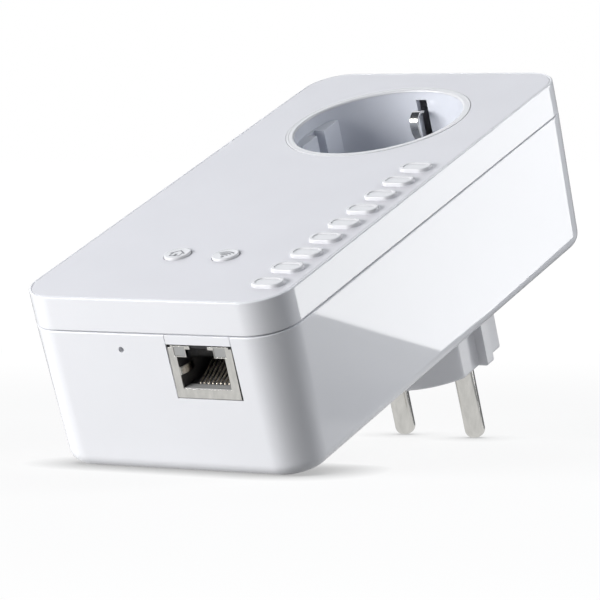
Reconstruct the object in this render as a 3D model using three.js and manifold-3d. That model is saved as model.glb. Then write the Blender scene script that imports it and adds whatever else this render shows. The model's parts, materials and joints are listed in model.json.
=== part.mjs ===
// A powerline adapter: a plug-in network adapter with a pass-through earthed socket on its front,
// an earthed plug on its back and one network jack in its lower end wall.
//
// The case is modelled in its own frame: X across, Y along it from the jack end to the socket end,
// Z out of the front face, with z = 0 on the front plate. The whole case is then leant back on the
// tips of its plug pins and the lower edge of its jack end, which is how it lies on a table.
// All sizes are in millimetres.
import * as THREE from 'three';
import { mergeVertices } from 'three/addons/utils/BufferGeometryUtils.js';
import Module from 'manifold-3d';

const wasm = await Module();
wasm.setup();

// ---- driving dimensions ----------------------------------------------------------------------
const WIDTH = 66;
const LENGTH = 134;
const DEPTH = 40.8;
const CORNER = 9.3;            // radius of the case's four long corners
const TAPER = 0.65;            // how far each side of the housing draws in towards the back
const BACK_FILLET = 3.5;
const WALL = 2.2;
const GAP = 0.3;               // clearance between pieces that touch or slide
const COVER_DEPTH = 7.6;       // the cover's side band
const PLATE = 1;               // thickness of the front plate
const PLATE_INSET = 0.6;       // the cover's lip round the front plate
const COVER_TOP = 1.8;         // thickness of the cover under the plate
const SKIRT_DEPTH = 10;        // how far the cover's skirt reaches into the housing
const SKIRT_WALL = 1.2;

const SOCKET_Y = 35.8;         // centre of the socket and of the plug, along the case
const WELL_RADIUS = 19.7;
const WELL_DEPTH = 17.5;
const TRIM_RADIUS = 21.5;
const CUP_RADIUS = 21.2;
const CUP_FLOOR = 2.5;
const PIN_X = 9.5;             // pins stand 19 mm apart
const PIN_RADIUS = 2.4;
const PIN_LENGTH = 19;
const PIN_TIP_ARC = 1.9;
const PLUG_RADIUS = 17.5;
const PLUG_HEIGHT = 19.4;
const PLUG_FLAT_X = 15.2;      // the flats that clear a socket's guide ribs
const GUIDE_RIB_Y = 1.5;

const JACK = { left: 4.35, right: 20.3, top: -10.25, bottom: -22.2, length: 21 };
const JACK_MOUTH = { left: 6.2, right: 18.3, top: -12.8, bottom: -20.1 };
const JACK_NOTCH = { left: 8.7, right: 15.7, top: -10.9 };

const BUTTON_Y = -42.95;
const BUTTON_XS = { left_button: -5.5, right_button: 6.85 };
const BUTTON_RADIUS = 3;
const BUTTON_TOP = 0.5;
const FLANGE = { reach: 1.1, thickness: 0.9 };     // the rim that keeps a button in the cover
const RESET = { x: -7.6, z: -11.6, radius: 0.65 };

const SCREW_X = 25;
const SCREW_YS = [-58, 58.5];
const MAIN_BOARD = { top: -22.6, thickness: 1.6 };
const POWER_BOARD = { top: -35, thickness: 1.6 };
const BUTTON_BOARD = { top: -7.6, thickness: 1 };

const BACK = -DEPTH;
const BACK_INSIDE = BACK + WALL;
const COVER_FLOOR = -PLATE - GAP;                // the recess that the front plate lies in
const COVER_UNDER = COVER_FLOOR - COVER_TOP;
const HOUSING_TOP = -COVER_DEPTH - GAP;
const CUP_TOP = -2.5;
const CUP_UNDER = -WELL_DEPTH - CUP_FLOOR;

// ---- materials -------------------------------------------------------------------------------
function material(color, roughness, metalness = 0) {
  return new THREE.MeshStandardMaterial({ color, roughness, metalness });
}
const glossWhite = material(0xf4f4f6, 0.18);
const satinGrey = material(0xe2e1e6, 0.42);
const wellGrey = material(0xd9dade, 0.35);
const nickel = material(0xc9c7c2, 0.25, 1);
const brass = material(0xc8a55a, 0.35, 1);
const steel = material(0xb9bcc0, 0.35, 1);
const blackPlastic = material(0x1b1b1d, 0.5);
const boardGreen = material(0x1f5b3a, 0.5);
const labelPaper = material(0xdfe0e2, 0.6);
const ivory = material(0xe9e4d4, 0.5);

// ---- geometry helpers ------------------------------------------------------------------------
function solid(geometry) {
  const bare = geometry.clone();
  bare.deleteAttribute('normal');
  bare.deleteAttribute('uv');
  const merged = mergeVertices(bare, 1e-5);
  const vertProperties = new Float32Array(merged.attributes.position.array);
  const triVerts = new Uint32Array(merged.index.array);
  return new wasm.Manifold(new wasm.Mesh({ numProp: 3, vertProperties, triVerts }));
}

function geometryOf(manifold) {
  const { vertProperties, triVerts } = manifold.getMesh();
  const geometry = new THREE.BufferGeometry();
  geometry.setAttribute('position', new THREE.BufferAttribute(new Float32Array(vertProperties), 3));
  geometry.setIndex(new THREE.BufferAttribute(new Uint32Array(triVerts), 1));
  geometry.computeVertexNormals();
  return geometry;
}

function block([x0, x1], [y0, y1], [z0, z1]) {
  const box = new THREE.BoxGeometry(x1 - x0, y1 - y0, z1 - z0);
  return solid(box.translate((x0 + x1) / 2, (y0 + y1) / 2, (z0 + z1) / 2));
}

function rod(radius, [z0, z1], x = 0, y = 0, sides = 24) {
  const cylinder = new THREE.CylinderGeometry(radius, radius, z1 - z0, sides);
  return solid(cylinder.rotateX(Math.PI / 2).translate(x, y, (z0 + z1) / 2));
}

function rodAlongY(radius, [y0, y1], x, z, sides = 16) {
  const cylinder = new THREE.CylinderGeometry(radius, radius, y1 - y0, sides);
  return solid(cylinder.translate(x, (y0 + y1) / 2, z));
}

function anticlockwise(pairs) {
  const points = pairs.map(([u, v]) => new THREE.Vector2(u, v));
  return THREE.ShapeUtils.isClockWise(points) ? points.reverse() : points;
}

// A closed profile of [radius, z] points turned about the vertical line through (x, y).
function turned(profile, x = 0, y = 0, sides = 32) {
  const points = anticlockwise(profile);
  const lathe = new THREE.LatheGeometry([...points, points[0].clone()], sides);
  return solid(lathe.rotateX(Math.PI / 2).translate(x, y, 0));
}

function prism(shape, [z0, z1], curveSegments = 8) {
  const options = { depth: z1 - z0, bevelEnabled: false, curveSegments };
  return solid(new THREE.ExtrudeGeometry(shape, options).translate(0, 0, z0));
}

function roundedRect([x0, x1], [y0, y1], radius) {
  const shape = new THREE.Shape();
  shape.absarc(x1 - radius, y0 + radius, radius, -Math.PI / 2, 0);
  shape.absarc(x1 - radius, y1 - radius, radius, 0, Math.PI / 2);
  shape.absarc(x0 + radius, y1 - radius, radius, Math.PI / 2, Math.PI);
  shape.absarc(x0 + radius, y0 + radius, radius, Math.PI, Math.PI * 1.5);
  return shape;
}

function polygon(pairs) {
  return new THREE.Shape(anticlockwise(pairs));
}

// A profile drawn in the Y-Z plane and extruded along X.
function stripAcross(points, [x0, x1]) {
  const options = { depth: x1 - x0, bevelEnabled: false };
  const strip = new THREE.ExtrudeGeometry(polygon(points), options);
  const turn = new THREE.Matrix4().makeBasis(
    new THREE.Vector3(0, 1, 0), new THREE.Vector3(0, 0, 1), new THREE.Vector3(1, 0, 0));
  return solid(strip.applyMatrix4(turn).translate(x0, 0, 0));
}

// The outline of a strip of even thickness whose middle follows the given points.
function ribbon(points, thickness) {
  const sides = [[], []];
  points.forEach((point, i) => {
    const before = points[Math.max(i - 1, 0)];
    const after = points[Math.min(i + 1, points.length - 1)];
    const along = Math.hypot(after[0] - before[0], after[1] - before[1]);
    const across = [(before[1] - after[1]) / along, (after[0] - before[0]) / along];
    for (const side of [0, 1]) {
      const reach = (side - 0.5) * thickness;
      sides[side].push([point[0] + across[0] * reach, point[1] + across[1] * reach]);
    }
  });
  return [...sides[0], ...sides[1].reverse()];
}

function wire(points, radius, sides = 8, steps = 24) {
  const curve = new THREE.CatmullRomCurve3(points.map((point) => new THREE.Vector3(...point)));
  const section = new THREE.Shape();
  section.absarc(0, 0, radius, 0, Math.PI * 2);
  const options = { steps, extrudePath: curve, curveSegments: sides, bevelEnabled: false };
  return solid(new THREE.ExtrudeGeometry(section, options));
}

// A ring of the case's outline, drawn in by an inset, at one height.
function caseRing(inset, z, cornerSteps = 6) {
  const radius = CORNER - inset;
  const corners = [[1, -1, -0.5], [1, 1, 0], [-1, 1, 0.5], [-1, -1, 1]];
  const ring = [];
  for (const [sideX, sideY, start] of corners) {
    const centreX = sideX * (WIDTH / 2 - CORNER);
    const centreY = sideY * (LENGTH / 2 - CORNER);
    for (let step = 0; step <= cornerSteps; step += 1) {
      const angle = (start + (0.5 * step) / cornerSteps) * Math.PI;
      ring.push([centreX + radius * Math.cos(angle), centreY + radius * Math.sin(angle), z]);
    }
  }
  return ring;
}

// A closed solid through rings of equal point count, listed from the top down.
function loft(rings) {
  const count = rings[0].length;
  const positions = rings.flat(2);
  const index = [];
  for (let level = 0; level < rings.length - 1; level += 1) {
    for (let i = 0; i < count; i += 1) {
      const next = (i + 1) % count;
      const [a, b] = [level * count + i, level * count + next];
      const [c, d] = [a + count, b + count];
      index.push(a, c, b, b, c, d);
    }
  }
  const lastRing = (rings.length - 1) * count;
  for (let i = 1; i < count - 1; i += 1) {
    index.push(0, i, i + 1);
    index.push(lastRing, lastRing + i + 1, lastRing + i);
  }
  const geometry = new THREE.BufferGeometry();
  geometry.setAttribute('position', new THREE.Float32BufferAttribute(positions, 3));
  geometry.setIndex(index);
  return solid(geometry);
}

function joined(...pieces) {
  return pieces.reduce((whole, piece) => whole.add(piece));
}

function cut(whole, ...tools) {
  return tools.reduce((rest, tool) => rest.subtract(tool), whole);
}

const inCase = new THREE.Group();
function place(name, shape, look) {
  const mesh = new THREE.Mesh(geometryOf(shape), look);
  mesh.name = name;
  inCase.add(mesh);
}

// ---- the case --------------------------------------------------------------------------------
function housingDraft(z) {
  return TAPER * THREE.MathUtils.clamp((z - HOUSING_TOP) / (BACK - HOUSING_TOP), 0, 1);
}

function housingOutside() {
  const arcSteps = 4;
  const rings = [caseRing(0, HOUSING_TOP)];
  for (let step = 0; step <= arcSteps; step += 1) {
    const angle = (step / arcSteps) * (Math.PI / 2);
    const z = BACK + BACK_FILLET * (1 - Math.sin(angle));
    rings.push(caseRing(housingDraft(z) + BACK_FILLET * (1 - Math.cos(angle)), z));
  }
  return loft(rings);
}

function screwPlaces() {
  return SCREW_YS.flatMap((y) => [-SCREW_X, SCREW_X].map((x) => [x, y]));
}

const SCREW_FLOOR = [-33, -30];        // the shelf in the housing that each screw head bears on
const SCREW_POST = { housing: 4.6, cover: 3.5, bore: 1.7, boreTop: -16 };
const HEAD_RECESS_RADIUS = 3.4;
const SHANK_HOLE_RADIUS = 1.8;
const SCREW = { head: 2.9, headHeight: 2.2, shank: 1.4, tip: -17, slot: [1.8, 0.3], slotDepth: 0.9 };

const VENT = { count: 5, first: -47, pitch: 6, halfLength: 15, halfWidth: 0.9 };

function ventSlots() {
  const slots = [];
  for (let row = 0; row < VENT.count; row += 1) {
    const y = VENT.first + row * VENT.pitch;
    const outline = roundedRect([-VENT.halfLength, VENT.halfLength],
      [y - VENT.halfWidth, y + VENT.halfWidth], VENT.halfWidth);
    slots.push(prism(outline, [BACK - 1, BACK_INSIDE + 1], 2));
  }
  return slots;
}

const LABEL = { x: [-20, 20], y: [-16.5, 13.5], corner: 2, recess: 0.5, inset: 0.4, thickness: 0.25 };

function backHousing() {
  const inside = loft([
    caseRing(WALL, HOUSING_TOP + 1), caseRing(WALL + TAPER, BACK_INSIDE)]);
  let shell = cut(housingOutside(), inside);
  for (const [x, y] of screwPlaces()) {
    shell = shell.add(rod(SCREW_POST.housing, [BACK_INSIDE - 0.5, SCREW_FLOOR[1]], x, y));
  }
  for (const [x, y] of screwPlaces()) {
    shell = cut(shell, rod(HEAD_RECESS_RADIUS, [BACK - 1, SCREW_FLOOR[0]], x, y),
      rod(SHANK_HOLE_RADIUS, [BACK, SCREW_FLOOR[1] + 1], x, y, 16));
  }
  const jackGap = block([JACK.left - GAP, JACK.right + GAP], [-LENGTH / 2 - 1, -LENGTH / 2 + 4],
    [JACK.bottom - GAP, HOUSING_TOP + 1]);
  const labelRecess = prism(
    roundedRect(LABEL.x, LABEL.y, LABEL.corner), [BACK - 1, BACK + LABEL.recess]);
  return cut(shell, jackGap, labelRecess, ...ventSlots(),
    rod(PLUG_RADIUS + GAP, [BACK - 1, BACK_INSIDE + 1], 0, SOCKET_Y, 48),
    rodAlongY(RESET.radius, [-LENGTH / 2 - 1, -LENGTH / 2 + 4], RESET.x, RESET.z));
}

function frontCover() {
  const outside = loft([caseRing(0, 0), caseRing(0, -COVER_DEPTH)]);
  const hollow = loft([caseRing(WALL, COVER_UNDER), caseRing(WALL, -COVER_DEPTH - 1)]);
  const plateRecess = loft([caseRing(PLATE_INSET, 1), caseRing(PLATE_INSET, COVER_FLOOR)]);
  const skirtInset = [WALL + GAP, WALL + GAP + SKIRT_WALL];
  const skirt = cut(
    loft([caseRing(skirtInset[0], COVER_UNDER + 0.5), caseRing(skirtInset[0], -SKIRT_DEPTH)]),
    loft([caseRing(skirtInset[1], COVER_UNDER), caseRing(skirtInset[1], -SKIRT_DEPTH - 1)]));
  const bridge = loft([caseRing(WALL - 0.5, COVER_UNDER + 0.5), caseRing(WALL - 0.5, COVER_UNDER - 2)]);
  const bridgeHollow = loft([
    caseRing(skirtInset[1], COVER_UNDER), caseRing(skirtInset[1], COVER_UNDER - 3)]);
  const jackTab = block([JACK.left, JACK.right], [-LENGTH / 2 + 0.1, -LENGTH / 2 + 3.4],
    [JACK.top + GAP, -COVER_DEPTH + 1]);
  let cover = joined(cut(outside, hollow, plateRecess), cut(bridge, bridgeHollow), skirt, jackTab);
  for (const [x, y] of screwPlaces()) {
    cover = cover.add(rod(SCREW_POST.cover, [SCREW_FLOOR[1] + GAP, COVER_UNDER + 0.5], x, y));
    cover = cover.subtract(
      rod(SCREW_POST.bore, [SCREW_FLOOR[1] - 1, SCREW_POST.boreTop], x, y, 16));
  }
  for (const x of Object.values(BUTTON_XS)) {
    cover = cover.subtract(rod(BUTTON_RADIUS + GAP, [-8, 1], x, BUTTON_Y));
  }
  return cut(cover, rod(TRIM_RADIUS + GAP, [-5, 1], 0, SOCKET_Y, 48));
}

const BAR = { x: [22.4, 29.9], width: 4.4, first: -57, pitch: 8, count: 9, height: 0.8 };

function frontPlate() {
  let plate = loft([
    caseRing(PLATE_INSET + 0.15, 0), caseRing(PLATE_INSET + 0.15, -PLATE)]);
  for (let i = 0; i < BAR.count; i += 1) {
    const y = BAR.first + i * BAR.pitch;
    const outline = roundedRect(BAR.x, [y - BAR.width / 2, y + BAR.width / 2], BAR.width / 2 - 0.1);
    plate = plate.add(prism(outline, [-PLATE / 2, BAR.height], 2));
  }
  for (const x of Object.values(BUTTON_XS)) {
    plate = plate.subtract(rod(BUTTON_RADIUS + GAP, [-2, 1], x, BUTTON_Y));
  }
  return cut(plate, rod(TRIM_RADIUS + GAP, [-2, 1], 0, SOCKET_Y, 48));
}

function caseScrew(x, y) {
  const headTop = SCREW_FLOOR[0] - GAP;
  const headUnder = headTop - SCREW.headHeight;
  const head = rod(SCREW.head, [headUnder, headTop], x, y, 20);
  const shank = rod(SCREW.shank, [headTop - 1, SCREW.tip], x, y, 12);
  const [long, short] = SCREW.slot;
  const crossSlots = [[long, short], [short, long]].map(([halfX, halfY]) => block(
    [x - halfX, x + halfX], [y - halfY, y + halfY], [headUnder - 1, headUnder + SCREW.slotDepth]));
  return cut(joined(head, shank), ...crossSlots);
}

function ratingLabel() {
  const { inset, corner, thickness } = LABEL;
  const [x0, x1] = LABEL.x;
  const [y0, y1] = LABEL.y;
  const outline = roundedRect([x0 + inset, x1 - inset], [y0 + inset, y1 - inset], corner - inset);
  return prism(outline, [BACK - 0.05, BACK - 0.05 + thickness], 4);
}

place('back_housing', backHousing(), glossWhite);
place('front_cover', frontCover(), glossWhite);
place('front_plate', frontPlate(), satinGrey);
screwPlaces().forEach(([x, y], i) => place(`case_screw_${i + 1}`, caseScrew(x, y), steel));
place('rating_label', ratingLabel(), labelPaper);

// ---- the socket ------------------------------------------------------------------------------
const RIB = { face: 16.3, reach: 8.3, top: -3, slot: 1.6, slotDepth: 19 };
const CLIP_SLOT = { half: 1.4, reach: 17.5, top: -2.4 };
const SHUTTER = { top: CUP_UNDER - GAP, thickness: 1, radius: 14, turn: 38, pivot: 1.7 };
const PIN_HOLE_RADIUS = 3;

const TRIM = { top: 0.1, lip: 1 };      // the lip is the radius of the ring's rounded inner edge

function trimRing() {
  return turned([
    [WELL_RADIUS, CUP_TOP + GAP], [TRIM_RADIUS, CUP_TOP + GAP], [TRIM_RADIUS, TRIM.top],
    [WELL_RADIUS + TRIM.lip, TRIM.top], [WELL_RADIUS + 0.3 * TRIM.lip, TRIM.top - 0.3 * TRIM.lip],
    [WELL_RADIUS, TRIM.top - TRIM.lip]], 0, SOCKET_Y, 48);
}

function guideRib(side) {
  const whole = block([side > 0 ? RIB.face : -CUP_RADIUS, side > 0 ? CUP_RADIUS : -RIB.face],
    [SOCKET_Y - RIB.reach, SOCKET_Y + RIB.reach], [-WELL_DEPTH - 0.5, RIB.top]);
  const slot = block([side > 0 ? RIB.face - 1 : -RIB.slotDepth, side > 0 ? RIB.slotDepth : -RIB.face + 1],
    [SOCKET_Y - RIB.slot, SOCKET_Y + RIB.slot], [-WELL_DEPTH, RIB.top + 1]);
  const round = rod(CUP_RADIUS - 0.5, [-WELL_DEPTH - 1, RIB.top + 2], 0, SOCKET_Y, 48);
  return cut(whole, slot).intersect(round);
}

function socketWell() {
  const rimRadius = CUP_RADIUS + 2.8;
  const rim = [COVER_UNDER - GAP - 1.5, COVER_UNDER - GAP];
  const cup = turned([
    [0, -WELL_DEPTH], [WELL_RADIUS, -WELL_DEPTH], [WELL_RADIUS, CUP_TOP], [CUP_RADIUS, CUP_TOP],
    [CUP_RADIUS, rim[1]], [rimRadius, rim[1]], [rimRadius, rim[0]], [CUP_RADIUS, rim[0]],
    [CUP_RADIUS, CUP_UNDER], [0, CUP_UNDER]], 0, SOCKET_Y, 48);
  const pivotUnder = SHUTTER.top - SHUTTER.thickness - GAP;
  const pivot = rod(SHUTTER.pivot, [pivotUnder, CUP_UNDER + 0.5], 0, SOCKET_Y, 20);
  const clipSlots = [-1, 1].map((side) => {
    const [near, far] = [SOCKET_Y + side * CLIP_SLOT.reach, SOCKET_Y + side * (CUP_RADIUS + 4)];
    return block([-CLIP_SLOT.half, CLIP_SLOT.half], [Math.min(near, far), Math.max(near, far)],
      [CUP_UNDER - 1, CLIP_SLOT.top]);
  });
  const pinHoles = [-PIN_X, PIN_X].map(
    (x) => rod(PIN_HOLE_RADIUS, [CUP_UNDER - 1, -WELL_DEPTH + 1], x, SOCKET_Y));
  return cut(joined(cup, pivot, guideRib(-1), guideRib(1)), ...clipSlots, ...pinHoles);
}

function shutterDisc() {
  const levels = [SHUTTER.top - SHUTTER.thickness, SHUTTER.top];
  const turn = THREE.MathUtils.degToRad(SHUTTER.turn);
  const disc = rod(SHUTTER.radius, levels, 0, SOCKET_Y, 32);
  const openings = [0, Math.PI].map((half) => rod(PIN_HOLE_RADIUS, [levels[0] - 1, levels[1] + 1],
    PIN_X * Math.cos(half + turn), SOCKET_Y + PIN_X * Math.sin(half + turn)));
  return cut(disc, ...openings,
    rod(SHUTTER.pivot + 0.4, [levels[0] - 1, levels[1] + 1], 0, SOCKET_Y, 20));
}

const SPRING = { x: 16.4, y: SOCKET_Y + 4, z: SHUTTER.top - 1.5, turns: 4, radius: 1.1, wire: 0.25 };

function shutterSpring() {
  const stepsPerTurn = 8;
  const points = [];
  for (let i = 0; i <= SPRING.turns * stepsPerTurn; i += 1) {
    const angle = (i / stepsPerTurn) * Math.PI * 2;
    points.push([SPRING.x + i / stepsPerTurn, SPRING.y + SPRING.radius * Math.cos(angle),
      SPRING.z + SPRING.radius * Math.sin(angle)]);
  }
  return wire(points, SPRING.wire, 3, SPRING.turns * stepsPerTurn);
}

const TULIP = { outside: 3.9, inside: 2.7, slit: 0.5, levels: [-35.8, -23] };
const CARRIER = { halfX: 16, halfY: 7, corner: 3, levels: [-35.9, -22] };
const BUSBAR = { ring: 5, bore: 2.8, halfWidth: 2.2, end: 7.5, levels: [-36.9, -36.1] };

function contactTulip(x) {
  const tube = turned([
    [TULIP.inside, TULIP.levels[0]], [TULIP.outside, TULIP.levels[0]],
    [TULIP.outside, TULIP.levels[1]], [TULIP.inside, TULIP.levels[1]]], x, SOCKET_Y, 16);
  const slit = block([x - TULIP.slit, x + TULIP.slit], [SOCKET_Y - 5, SOCKET_Y + 5],
    [TULIP.levels[0] + 2, TULIP.levels[1] + 1]);
  return cut(tube, slit);
}

function contactCarrier() {
  const { halfX, halfY, corner, levels } = CARRIER;
  const body = prism(
    roundedRect([-halfX, halfX], [SOCKET_Y - halfY, SOCKET_Y + halfY], corner), levels, 4);
  const pockets = [-PIN_X, PIN_X].map(
    (x) => rod(TULIP.outside + GAP, [levels[0] - 1, levels[1] + 1], x, SOCKET_Y));
  return cut(body, ...pockets);
}

function busbar(x) {
  const { halfWidth, levels } = BUSBAR;
  const ring = rod(BUSBAR.ring, levels, x, SOCKET_Y);
  const strip = block([x - halfWidth, x + halfWidth], [BUSBAR.end, SOCKET_Y - 2], levels);
  return cut(joined(ring, strip), rod(BUSBAR.bore, [levels[0] - 1, levels[1] + 1], x, SOCKET_Y));
}

// The clip's middle line as [distance from the socket's centre, height], from its foot up over the
// knee that presses on a plug's earth strip.
const EARTH = {
  thickness: 0.7,
  halfWidth: 1.1,
  foot: [22.3, -33.2],
  bend: [[22.3, -19.5], [21.6, -17.4], [18.6, -14], [16.3, -11.2], [15.1, -9]],
  knee: [[14.8, -7.2], [15, -5.9], [15.9, -4.85], [17.1, -4.45], [18.4, -4.9]],
};
const EARTH_FRAME = { outer: [20.5, 23.3], inner: [17, 19.5], thickness: 0.8 };

function earthClip(side) {
  const middle = [EARTH.foot, ...EARTH.bend, ...EARTH.knee];
  const profile = ribbon(middle.map(([reach, z]) => [SOCKET_Y + side * reach, z]), EARTH.thickness);
  return stripAcross(profile, [-EARTH.halfWidth, EARTH.halfWidth]);
}

function earthBracket() {
  const top = EARTH.foot[1] - GAP;
  const under = top - EARTH_FRAME.thickness;
  const ring = ([halfX, halfY], corner) => roundedRect(
    [-halfX, halfX], [SOCKET_Y - halfY, SOCKET_Y + halfY], corner);
  return cut(prism(ring(EARTH_FRAME.outer, 6), [under, top], 4),
    prism(ring(EARTH_FRAME.inner, 4), [under - 1, top + 1], 4));
}

place('socket_trim_ring', trimRing(), glossWhite);
place('socket_well', socketWell(), wellGrey);
place('shutter_disc', shutterDisc(), wellGrey);
place('shutter_spring', shutterSpring(), steel);
place('contact_carrier', contactCarrier(), ivory);
place('live_contact', contactTulip(-PIN_X), brass);
place('neutral_contact', contactTulip(PIN_X), brass);
place('live_busbar', busbar(-PIN_X), brass);
place('neutral_busbar', busbar(PIN_X), brass);
place('earth_bracket', earthBracket(), nickel);
place('upper_earth_clip', earthClip(1), nickel);
place('lower_earth_clip', earthClip(-1), nickel);

// ---- the plug --------------------------------------------------------------------------------
const PLUG_END = BACK - PLUG_HEIGHT;
const PLUG_FLANGE = [BACK_INSIDE + GAP, BACK_INSIDE + GAP + 0.9];
const PIN_ROOT = -37.2;
const EARTH_STRIP = { halfWidth: 3, faces: [16, 16.8], room: [15.6, 20], start: 3, root: -37.4 };

function plugSection() {
  const meet = Math.acos(PLUG_FLAT_X / PLUG_RADIUS);
  const outline = new THREE.Shape();
  outline.absarc(0, SOCKET_Y, PLUG_RADIUS, meet, Math.PI - meet);
  outline.lineTo(-PLUG_FLAT_X, SOCKET_Y + GUIDE_RIB_Y);
  outline.lineTo(-PLUG_RADIUS, SOCKET_Y + GUIDE_RIB_Y);
  outline.lineTo(-PLUG_RADIUS, SOCKET_Y - GUIDE_RIB_Y);
  outline.lineTo(-PLUG_FLAT_X, SOCKET_Y - GUIDE_RIB_Y);
  outline.absarc(0, SOCKET_Y, PLUG_RADIUS, Math.PI + meet, Math.PI * 2 - meet);
  outline.lineTo(PLUG_FLAT_X, SOCKET_Y - GUIDE_RIB_Y);
  outline.lineTo(PLUG_RADIUS, SOCKET_Y - GUIDE_RIB_Y);
  outline.lineTo(PLUG_RADIUS, SOCKET_Y + GUIDE_RIB_Y);
  outline.lineTo(PLUG_FLAT_X, SOCKET_Y + GUIDE_RIB_Y);
  return outline;
}

function earthStripRoom(side) {
  const faces = EARTH_STRIP.room.map((reach) => SOCKET_Y + side * reach).sort((a, b) => a - b);
  return block([-EARTH_STRIP.halfWidth - GAP, EARTH_STRIP.halfWidth + GAP], faces,
    [PLUG_END + EARTH_STRIP.start, PLUG_FLANGE[1] + 1]);
}

function plugBody() {
  const body = prism(plugSection(), [PLUG_END, PLUG_FLANGE[0] + 0.3], 12);
  const flange = rod(PLUG_RADIUS + 1.5, PLUG_FLANGE, 0, SOCKET_Y, 48);
  const pinHoles = [-PIN_X, PIN_X].map(
    (x) => rod(PIN_RADIUS + GAP, [PLUG_END - 1, PLUG_FLANGE[1] + 1], x, SOCKET_Y));
  return cut(joined(body, flange), ...pinHoles, earthStripRoom(-1), earthStripRoom(1));
}

function plugPin(x) {
  const tip = PLUG_END - PIN_LENGTH;
  const profile = [[0, PIN_ROOT], [PIN_RADIUS, PIN_ROOT]];
  const arcSteps = 4;
  for (let step = 0; step <= arcSteps; step += 1) {
    const angle = (step / arcSteps) * (Math.PI / 2);
    profile.push([PIN_RADIUS - PIN_TIP_ARC + PIN_TIP_ARC * Math.cos(angle),
      tip + PIN_TIP_ARC - PIN_TIP_ARC * Math.sin(angle)]);
  }
  profile.push([0, tip]);
  return turned(profile, x, SOCKET_Y, 20);
}

function plugEarthStrip(side) {
  const faces = EARTH_STRIP.faces.map((reach) => SOCKET_Y + side * reach).sort((a, b) => a - b);
  return block([-EARTH_STRIP.halfWidth, EARTH_STRIP.halfWidth], faces,
    [PLUG_END + EARTH_STRIP.start + GAP, EARTH_STRIP.root]);
}

place('plug_body', plugBody(), glossWhite);
place('live_pin', plugPin(-PIN_X), nickel);
place('neutral_pin', plugPin(PIN_X), nickel);
place('upper_plug_earth_strip', plugEarthStrip(1), nickel);
place('lower_plug_earth_strip', plugEarthStrip(-1), nickel);

// ---- the network jack ------------------------------------------------------------------------
const JACK_FRONT = -LENGTH / 2 + 0.15;
const JACK_BACK = JACK_FRONT + JACK.length;
const SHEET = 0.5;
const INSERT_CLEARANCE = 0.25;
const COMB = { wires: 8, pitch: 1.02, middle: (JACK.left + JACK.right) / 2, y: -63.9, z: -20.2 };
const COMB_HALF = ((COMB.wires - 1) / 2) * COMB.pitch;

function jackMouth(depths) {
  const main = block([JACK_MOUTH.left, JACK_MOUTH.right], depths, [JACK_MOUTH.bottom, JACK_MOUTH.top]);
  const notch = block([JACK_NOTCH.left, JACK_NOTCH.right], depths,
    [JACK_MOUTH.top - 1, JACK_NOTCH.top]);
  return joined(main, notch);
}

function jackShield() {
  const outside = block([JACK.left, JACK.right], [JACK_FRONT, JACK_BACK], [JACK.bottom, JACK.top]);
  const inside = block([JACK.left + SHEET, JACK.right - SHEET], [JACK_FRONT + SHEET, JACK_BACK + 1],
    [JACK.bottom + SHEET, JACK.top - SHEET]);
  return cut(outside, inside, jackMouth([JACK_FRONT - 1, JACK_FRONT + 2]));
}

function jackInsert() {
  const inset = SHEET + INSERT_CLEARANCE;
  const front = JACK_FRONT + inset;
  const body = block([JACK.left + inset, JACK.right - inset], [front, JACK_BACK - 1],
    [JACK.bottom + inset, JACK.top - inset]);
  const cavity = block([JACK_MOUTH.left, JACK_MOUTH.right], [front - 1, front + 13.5],
    [JACK_MOUTH.bottom, JACK_MOUTH.top]);
  const notch = block([JACK_NOTCH.left, JACK_NOTCH.right], [front - 1, front + 11],
    [JACK_MOUTH.top - 1, JACK.top - 0.2]);
  const combGroove = block([COMB.middle - COMB_HALF - 0.5, COMB.middle + COMB_HALF + 0.5],
    [front + 1.4, front + 4], [JACK_MOUTH.bottom - 0.9, JACK_MOUTH.bottom + 0.1]);
  return cut(body, cavity, notch, combGroove);
}

function jackContacts() {
  let comb = block([COMB.middle - COMB_HALF - 0.22, COMB.middle + COMB_HALF + 0.22],
    [COMB.y - 0.3, COMB.y + 0.5], [COMB.z - 0.4, COMB.z + 0.1]);
  const middle = [[COMB.y - 0.2, COMB.z], [COMB.y + 0.6, COMB.z + 0.5], [COMB.y + 8.4, COMB.z + 4.2]];
  for (let i = 0; i < COMB.wires; i += 1) {
    const x = COMB.middle - COMB_HALF + i * COMB.pitch;
    comb = comb.add(stripAcross(ribbon(middle, 0.44), [x - 0.21, x + 0.21]));
  }
  return comb;
}

place('jack_shield', jackShield(), nickel);
place('jack_insert', jackInsert(), blackPlastic);
place('jack_contacts', jackContacts(), brass);

// ---- buttons and switches --------------------------------------------------------------------
const SWITCH = { top: -5.3, half: 3, well: 2, plunger: 1.7 };

function pressButton(x) {
  const flangeTop = COVER_UNDER - GAP;
  const flangeUnder = flangeTop - FLANGE.thickness;
  const flangeRadius = BUTTON_RADIUS + FLANGE.reach;
  return turned([
    [0, flangeUnder], [flangeRadius, flangeUnder], [flangeRadius, flangeTop],
    [BUTTON_RADIUS, flangeTop], [BUTTON_RADIUS, BUTTON_TOP - 0.3], [BUTTON_RADIUS - 0.3, BUTTON_TOP],
    [0, BUTTON_TOP]], x, BUTTON_Y, 20);
}

function switchBody(x) {
  const body = block([x - SWITCH.half, x + SWITCH.half],
    [BUTTON_Y - SWITCH.half, BUTTON_Y + SWITCH.half], [BUTTON_BOARD.top + GAP, SWITCH.top]);
  return cut(body, rod(SWITCH.well, [SWITCH.top - 1.7, SWITCH.top + 1], x, BUTTON_Y, 20));
}

function switchPlunger(x) {
  const buttonUnder = COVER_UNDER - GAP - FLANGE.thickness;
  return rod(SWITCH.plunger, [SWITCH.top - 0.9, buttonUnder - GAP], x, BUTTON_Y, 20);
}

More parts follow.
